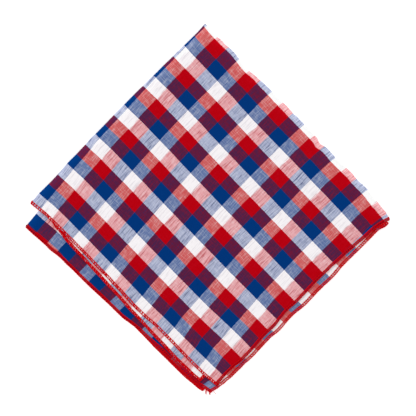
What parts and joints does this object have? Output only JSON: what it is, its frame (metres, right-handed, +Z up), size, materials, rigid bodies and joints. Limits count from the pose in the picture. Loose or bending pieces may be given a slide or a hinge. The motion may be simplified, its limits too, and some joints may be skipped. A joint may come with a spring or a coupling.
{
  "type": "dog bandana",
  "caption": "Hemmed square of checked cotton for a pet's neck, folded into a flat square of layers and lying with its loose corners at the front.",
  "frame": {"origin": "middle of the folded cloth's outline, on the surface that it lies on", "axes": "+Z up out of the surface, +Y towards the corner where both folds meet, -Y towards the loose corners, +X right"},
  "size_m": [0.3212, 0.3238, 0.0069],
  "materials": {
    "checked_cotton": "soft crinkled woven cotton"
  },
  "bodies": {
    "root": {"folded_cloth": "checked_cotton"}
  },
  "joints": []
}
